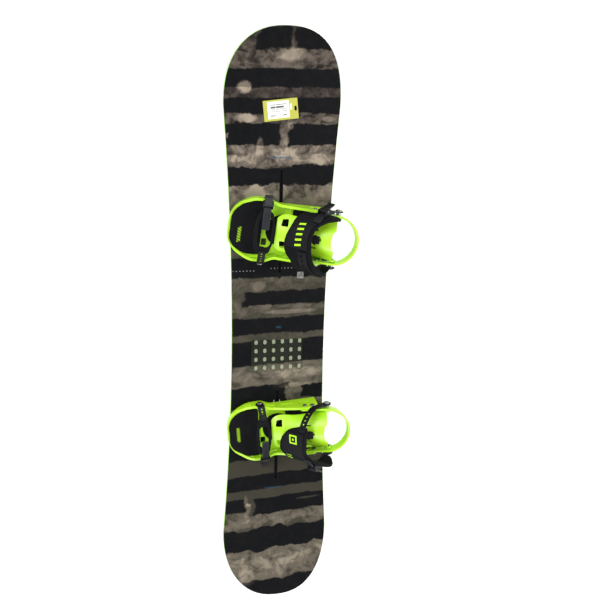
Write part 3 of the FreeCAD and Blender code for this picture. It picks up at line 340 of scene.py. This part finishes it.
def topsheet():
    """Torn dark bands over mottled taupe clouds, under a satin lacquer."""
    shader = Shader("topsheet_print")
    x, y = shader.axes()[:2]
    mm_x = shader.math("MULTIPLY", x, TO_MM)
    mm_y = shader.math("MULTIPLY", y, TO_MM)
    # the bands of the tail half climb a little towards the heel edge
    tilt = shader.span(mm_y, -120.0, 60.0, 0.055, 0.012)
    flat_y = shader.math("SUBTRACT", mm_y, shader.math("MULTIPLY", mm_x, tilt))
    large = shader.math("SUBTRACT", shader.noise(22.0, 3.0, 0.5), 0.5)
    fine = shader.math("SUBTRACT", shader.noise(120.0, 6.0, 0.7, shader.stretched(1.0, 0.6, 1.0)), 0.5)
    torn_y = shader.math("ADD", flat_y, shader.math("MULTIPLY", fine, 9.0))
    torn_x = shader.math("ADD", mm_x, shader.math("MULTIPLY", fine, 16.0))
    torn_x = shader.math("ADD", torn_x, shader.math("MULTIPLY", large, 40.0))
    dark = 0.0
    for middle, half, low, high, ragged in BANDS:
        sway = shader.math("MULTIPLY", large, 34.0 * ragged)
        away = shader.math("ABSOLUTE", shader.math("SUBTRACT", shader.math("ADD", torn_y, sway), float(middle)))
        across = shader.span(away, half - 2.2, half + 2.2, 1.0, 0.0)
        if low > -150:
            across = shader.math("MULTIPLY", across, shader.span(torn_x, low - 4.0, low + 4.0))
        if high < 150:
            across = shader.math("MULTIPLY", across, shader.span(torn_x, high - 4.0, high + 4.0, 1.0, 0.0))
        dark = shader.math("MAXIMUM", dark, across)
    ramp = shader.node("ShaderNodeValToRGB")
    stops = ramp.color_ramp.elements
    while len(stops) > 1:
        stops.remove(stops[0])
    stops[0].position = 0.0
    for i, (place, tone) in enumerate(TONES):
        stop = stops[0] if i == 0 else stops.new((place + HALF_LENGTH) / (2.0 * HALF_LENGTH))
        stop.color = (tone, tone, tone, 1.0)
    shader.link(shader.span_linear(flat_y, -HALF_LENGTH, HALF_LENGTH), ramp.inputs[0])
    tone = shader.math("MULTIPLY", ramp.outputs[0], 0.80)
    mottle = shader.noise(26.0, 7.0, 0.62, shader.stretched(1.0, 1.3, 1.0), 0.6)
    streak = shader.noise(90.0, 4.0, 0.6, shader.stretched(2.2, 0.28, 1.0))
    tone = shader.math("MULTIPLY", tone, shader.span(mottle, 0.32, 0.66, 0.18, 1.75))
    tone = shader.math("MULTIPLY", tone, shader.span(streak, 0.25, 0.75, 0.85, 1.15))
    for middle_x, middle_y, half_x, half_y, strength in BLOTS:
        dx = shader.math("DIVIDE", shader.math("SUBTRACT", torn_x, float(middle_x)), float(half_x))
        dy = shader.math("DIVIDE", shader.math("SUBTRACT", torn_y, float(middle_y)), float(half_y))
        away = shader.math("ADD", shader.math("MULTIPLY", dx, dx), shader.math("MULTIPLY", dy, dy))
        blot = shader.span(away, 0.5, 1.9, strength, 0.0)
        tone = shader.math("ADD", tone, shader.math("MULTIPLY", blot, 0.75))
        dark = shader.math("SUBTRACT", dark, shader.math("MULTIPLY", blot, 0.5), clamp=True)
    color = shader.mix(shader.span(tone, 0.0, 0.45), BROWN, TAUPE)
    color = shader.mix(shader.span(tone, 0.42, 1.05), color, PALE)
    green = shader.span(mm_y, 340.0, 400.0, 1.0, 0.0)
    color = shader.mix(shader.math("MULTIPLY", green, 0.30), color, OLIVE)
    smudge = shader.mix(shader.span(shader.noise(60.0, 4.0, 0.6), 0.4, 0.75, 0.0, 0.6), BLACK, BROWN)
    color = shader.mix(dark, color, smudge)
    color = generic_marks(shader, color, mm_x, mm_y)
    shader.set(color=color, level=0.06)
    shader.set(rough=shader.span(shader.noise(45.0), 0.3, 0.7, 0.45, 0.58))
    shader.bump(shader.noise(700.0, 2.0, 0.5), 0.00002)
    return shader.material


# plain bars and a badge: middle across and along the board, half sizes (mm), colour, strength
MARKS = (
    (-2, 459, 27, 2.6, BLUE, 0.8), (0, 467, 15, 1.4, BLUE, 0.6), (0, 16, 7, 3.0, BLUE, 0.55),
    (-7, -454, 24, 2.2, BLUE, 0.45), (55, 156, 8.5, 8.5, BADGE_GREY, 0.9), (55, 156, 4.2, 4.2, BADGE_CORE, 0.9),
)
DOT_ROWS = ((171, -122, -62), (176, -24, 42))  # place along the board, low and high end across it (mm)
DOT_PITCH = 9.0


def generic_marks(shader, color, x, y):
    """Plain shapes where the real sheet is marked: bars, a badge, dots and ticks."""
    fade = shader.span(shader.noise(160.0), 0.35, 0.6, 0.35, 1.0)
    for middle_x, middle_y, half_x, half_y, tint, strength in MARKS:
        mask = box_mask(shader, x, y, middle_x - half_x, middle_x + half_x, middle_y - half_y,
                        middle_y + half_y, 0.5)
        color = shader.mix(shader.math("MULTIPLY", shader.math("MULTIPLY", mask, fade), strength), color, tint)
    for row_y, low_x, high_x in DOT_ROWS:
        step = shader.math("FRACT", shader.math("DIVIDE", x, DOT_PITCH))
        dx = shader.math("MULTIPLY", shader.math("SUBTRACT", step, 0.5), DOT_PITCH)
        dy = shader.math("SUBTRACT", y, float(row_y))
        away = shader.math("SQRT", shader.math("ADD", shader.math("MULTIPLY", dx, dx),
                                               shader.math("MULTIPLY", dy, dy)))
        dots = shader.math("MULTIPLY", shader.span(away, 0.8, 1.6, 0.7, 0.0),
                           box_mask(shader, x, y, low_x, high_x, row_y - 4, row_y + 4, 0.2))
        color = shader.mix(dots, color, (0.35, 0.35, 0.34))
    for tick_x in (-9, 7):
        mask = box_mask(shader, x, y, tick_x - 0.9, tick_x + 0.9, -207, -191, 0.4)
        color = shader.mix(shader.math("MULTIPLY", mask, 0.7), color, (0.5, 0.5, 0.48))
    return color


def clear_rubber():
    """Pale see-through rubber of the stomp pad."""
    shader = Shader("clear_rubber")
    high = shader.span(shader.axes()[2], 0.0114, 0.0130)
    dust = shader.noise(400.0, 4.0, 0.6)
    color = shader.mix(high, RUBBER_LOW, RUBBER_HIGH)
    shader.set(color=color, rough=shader.span(dust, 0.3, 0.7, 0.26, 0.46), level=0.3)
    shader.set(alpha=shader.math("ADD", 0.10, shader.math("MULTIPLY", high, 0.26)))
    shader.bump(dust, 0.00005)
    return shader.material


# grey bars of the card: low and high end, middle and half height (mm from its middle), shade
CARD_BARS = (
    (-24, 14, 13, 1.0, 0.12), (-25, 8, 7, 2.2, 0.06), (-24, 16, 2.0, 0.8, 0.20), (-25, -2, -3, 0.8, 0.20),
    (4, 16, -3, 0.8, 0.20), (-26, -12, -13, 1.2, 0.08), (4, 15, -13, 1.2, 0.08),
)
CARD_MIDDLE = (-0.005, 0.575)
CARD_TURN = math.radians(6.5)


def card():
    """Price card: yellow-olive card with a white panel of grey bars."""
    shader = Shader("card")
    x, y = shader.axes()[:2]
    dx = shader.math("MULTIPLY", shader.math("SUBTRACT", x, CARD_MIDDLE[0]), TO_MM)
    dy = shader.math("MULTIPLY", shader.math("SUBTRACT", y, CARD_MIDDLE[1]), TO_MM)
    sine, cosine = math.sin(CARD_TURN), math.cos(CARD_TURN)
    u = shader.math("ADD", shader.math("MULTIPLY", dx, cosine), shader.math("MULTIPLY", dy, sine))
    v = shader.math("SUBTRACT", shader.math("MULTIPLY", dy, cosine), shader.math("MULTIPLY", dx, sine))
    color = shader.mix(shader.span(shader.noise(60.0), 0.3, 0.7, 0.0, 0.3), (0.36, 0.36, 0.045), (0.30, 0.28, 0.03))
    color = shader.mix(box_mask(shader, u, v, -33, 21, -20, 21, 0.3), color, (0.66, 0.65, 0.62))
    color = shader.mix(box_mask(shader, u, v, 23, 28, -2, 12, 0.3), color, (0.70, 0.70, 0.45))
    breaks = shader.span(shader.noise(300.0, 1.0, 0.5, shader.vector(x, 0.0, 0.0)), 0.34, 0.38)
    for low, high, middle, half, shade in CARD_BARS:
        bar = box_mask(shader, u, v, low, high, middle - half, middle + half, 0.15)
        color = shader.mix(shader.math("MULTIPLY", bar, breaks), color, (shade, shade, shade))
    shader.set(color=color, rough=0.55)
    return shader.material


def base_sheet():
    """Running base: black sintered sheet with a fine stone grind."""
    shader = Shader("base_plastic")
    grind = shader.noise(900.0, 2.0, 0.5, shader.stretched(3.0, 0.05, 1.0))
    shader.set(color=shader.mix(grind, (0.006, 0.006, 0.007), (0.018, 0.018, 0.020)), rough=0.36)
    shader.bump(grind, 0.00003)
    return shader.material


# ---------------------------------------------------------------- straps
def webbing(name, tone):
    """Padded strap cloth: fine weave with a rubbery top layer."""
    shader = Shader(name)
    x, y = shader.axes()[:2]
    thread = 2.0 * math.pi / 0.0011
    weave = shader.math("MULTIPLY", shader.math("SINE", shader.math("MULTIPLY", x, thread)),
                        shader.math("SINE", shader.math("MULTIPLY", y, thread)))
    fuzz = shader.noise(800.0, 3.0, 0.6)
    color = shader.mix(shader.span(fuzz, 0.3, 0.7), tone, tuple(value * 1.8 for value in tone))
    shader.set(color=color, rough=0.75, sheen=0.02, sheen_rough=0.4, level=0.09)
    shader.bump(weave, 0.00010)
    shader.bump(fuzz, 0.00008)
    return shader.material


MATERIALS = {
    "base_plastic": base_sheet(),
    "edge_steel": metal("edge_steel", (0.55, 0.56, 0.58), 0.30),
    "core_wood": wood(),
    "sidewall_lime": plastic("sidewall_lime", (0.30, 0.70, 0.010), (0.42, 0.80, 0.06), 0.40),
    "topsheet_print": topsheet(),
    "channel_black": plastic("channel_black", (0.003, 0.003, 0.0035), (0.008, 0.008, 0.009), 0.6, level=0.1),
    "clear_rubber": clear_rubber(),
    "card": card(),
    "lime_nylon": lime_plastic(),
    "black_nylon": plastic("black_nylon", (0.0034, 0.0036, 0.0044), (0.014, 0.0145, 0.017), 0.48, level=0.16),
    "grey_urethane": plastic("grey_urethane", (0.014, 0.015, 0.018), (0.032, 0.034, 0.038), 0.48, level=0.22),
    "foam": foam().material,
    "strap_fabric": webbing("strap_fabric", (0.0034, 0.0036, 0.0044)),
    "steel_zinc": metal("steel_zinc", (0.26, 0.26, 0.265), 0.36),
    "lever_black": plastic("lever_black", (0.005, 0.0052, 0.0062), (0.030, 0.031, 0.034), 0.36, level=0.35),
}


def dress_nodes():
    """Give every carried-over node the material of its slot."""
    slots = {part["node"]: part["material_slot"] for part in frame["record"]["subparts"]}
    for name, obj in NODES.items():
        obj.data.materials.clear()
        obj.data.materials.append(MATERIALS[slots[name]])
    for side in SIDES:
        NODES[side + "_ankle_cover"].data.materials[0] = strap_cover(side)


dress_nodes()


# ---------------------------------------------------------------- padded pieces
SKIN_INSET = 0.0006
CLOTH_FRAMES = 14
RIB_PITCH = 0.0048
RIB_DEPTH = 0.00045


def copy_of(node, name):
    """A free copy of a CAD node's mesh, with close vertices joined."""
    mesh = NODES[node].data.copy()
    mesh.name = name
    made = bpy.data.objects.new(name, mesh)
    bpy.context.scene.collection.objects.link(made)
    body = bmesh.new()
    body.from_mesh(mesh)
    bmesh.ops.remove_doubles(body, verts=body.verts, dist=0.00002)
    body.to_mesh(mesh)
    body.free()
    return made


def applied(obj):
    """Turn the modifiers of a piece into its mesh."""
    graph = bpy.context.evaluated_depsgraph_get()
    mesh = bpy.data.meshes.new_from_object(obj.evaluated_get(graph))
    obj.modifiers.clear()
    obj.data = mesh


def remeshed(obj, voxel):
    """Even skin of small faces, set in a little to leave room for the filling."""
    skin = obj.modifiers.new("skin", "REMESH")
    skin.mode = "VOXEL"
    skin.voxel_size = voxel
    applied(obj)
    for vertex in obj.data.vertices:
        vertex.co -= vertex.normal * SKIN_INSET


def inflate(obj, pressure, cap):
    """Blow the skin up as filled cloth and keep every point within the cap."""
    before = [vertex.co.copy() for vertex in obj.data.vertices]
    cloth = obj.modifiers.new("cloth", "CLOTH")
    settings = cloth.settings
    settings.quality = 4
    settings.use_pressure = True
    settings.uniform_pressure_force = pressure
    settings.effector_weights.gravity = 0.0
    settings.tension_stiffness = 30.0
    settings.bending_stiffness = 2.0
    scene = bpy.context.scene
    for step in range(1, CLOTH_FRAMES + 1):
        scene.frame_set(step)
    graph = bpy.context.evaluated_depsgraph_get()
    blown = obj.evaluated_get(graph).data
    after = [vertex.co.copy() for vertex in blown.vertices]
    obj.modifiers.clear()
    scene.frame_set(1)
    for vertex, start, end in zip(obj.data.vertices, before, after):
        move = end - start
        if move.length > cap:
            move *= cap / move.length
        vertex.co = start + move


def finish_skin(obj, material, levels):
    """Smooth the skin, subdivide it and dress it."""
    soft = obj.modifiers.new("soften", "SMOOTH")
    soft.factor = 0.5
    soft.iterations = 3
    divide = obj.modifiers.new("divide", "SUBSURF")
    divide.levels = levels
    divide.render_levels = levels
    applied(obj)
    obj.data.materials.clear()
    obj.data.materials.append(material)
    for face in obj.data.polygons:
        face.use_smooth = True


def ribs(obj, side):
    """Press fine diagonal grooves into the top of the toe ramp."""
    turn = math.radians(BINDINGS[side][1])
    run = Vector((math.cos(turn - 0.35), math.sin(turn - 0.35), 0.0))
    tops = [vertex.index for vertex in obj.data.vertices if vertex.normal.z > 0.6]
    for index in tops:
        vertex = obj.data.vertices[index]
        wave = math.sin(vertex.co.dot(run) * 2.0 * math.pi / RIB_PITCH)
        vertex.co.z -= RIB_DEPTH * max(0.0, 0.6 + wave)


# node, moving body, face size of the skin, pressure, cap on the swelling, fill
PADS = (
    ("ankle_pad", "ankle_loop", 0.0028, 4.0, 0.0020, 0.7),
    ("toe_cap", "toe_loop", 0.0028, 4.0, 0.0014, 0.6),
    ("toe_footbed", "tray", 0.0030, 3.0, 0.0008, 0.4),
    ("heel_footbed", "tray", 0.0030, 3.0, 0.0006, 0.4),
    ("highback_pad", "backrest", 0.0022, 3.0, 0.0005, 0.4),
)


def make_pads():
    """Every soft piece of the bindings as a filled cloth skin."""
    for side in SIDES:
        for part, body, voxel, pressure, cap, fill in PADS:
            node = side + "_" + part
            pad = copy_of(node, node + "_cloth")
            remeshed(pad, voxel)
            inflate(pad, pressure, cap)
            slot = "strap_fabric" if body in ("ankle_loop", "toe_loop") else "foam"
            if part == "toe_footbed":
                finish_skin(pad, toe_foam(side), 2)
                ribs(pad, side)
            else:
                finish_skin(pad, MATERIALS[slot], 1)
            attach(pad, side + "_" + body)
            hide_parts(node)


make_pads()


# ---------------------------------------------------------------- room, light and camera
FLOOR_HALF = 12.0
# name, place, width, power
LAMPS = (
    ("key", (-2.0, 1.6, 2.6), 1.5, 95.0), ("fill", (2.3, -0.2, 2.3), 1.6, 85.0),
    ("tail", (-1.2, -2.4, 2.0), 1.5, 60.0), ("nose", (1.0, 2.6, 2.2), 1.4, 40.0),
)


def studio():
    """Pale floor, white surroundings and soft lights."""
    mesh = bpy.data.meshes.new("floor")
    corners = ((-1, -1), (1, -1), (1, 1), (-1, 1))
    mesh.from_pydata([(x * FLOOR_HALF, y * FLOOR_HALF, 0) for x, y in corners], [], [(0, 1, 2, 3)])
    floor = bpy.data.objects.new("floor", mesh)
    floor.location = (0, 0, CAD_BOX[0].z - 0.0005)
    bpy.context.scene.collection.objects.link(floor)
    paint = Shader("floor_paint")
    paint.set(color=paint.mix(paint.noise(3.0), (0.86, 0.86, 0.86), (0.90, 0.90, 0.90)), rough=0.75)
    mesh.materials.append(paint.material)
    world = bpy.data.worlds.new("world")
    bpy.context.scene.world = world
    world.use_nodes = True
    sky = world.node_tree.nodes["Background"]
    sky.inputs[0].default_value = (1.0, 1.0, 1.0, 1.0)
    # white where the camera looks past the floor, dimmer as a light
    glow = world.node_tree.nodes.new("ShaderNodeMath")
    glow.operation = "MULTIPLY_ADD"
    seen = world.node_tree.nodes.new("ShaderNodeLightPath").outputs["Is Camera Ray"]
    world.node_tree.links.new(seen, glow.inputs[0])
    glow.inputs[1].default_value = 0.60
    glow.inputs[2].default_value = 0.40
    world.node_tree.links.new(glow.outputs[0], sky.inputs[1])
    for name, place, width, power in LAMPS:
        data = bpy.data.lights.new(name, "AREA")
        data.size = width
        data.energy = power
        lamp = bpy.data.objects.new(name, data)
        lamp.location = place
        lamp.rotation_euler = (-Vector(place)).to_track_quat("-Z", "Y").to_euler()
        bpy.context.scene.collection.objects.link(lamp)


def camera():
    """The camera above the toe edge, near the nose."""
    data = bpy.data.cameras.new("camera")
    data.lens = 49.75
    data.sensor_width = 36.0
    eye = bpy.data.objects.new("camera", data)
    eye.location = (-0.4307, 0.7065, 2.0367)
    yaw = Matrix.Rotation(-0.2357, 3, "Y")
    pitch = Matrix.Rotation(-0.2884, 3, "X")
    roll = Matrix.Rotation(0.0269, 3, "Z")
    eye.rotation_euler = (yaw @ pitch @ roll).to_euler()
    bpy.context.scene.collection.objects.link(eye)
    bpy.context.scene.camera = eye


studio()
camera()
bpy.context.scene.view_settings.view_transform = "Standard"
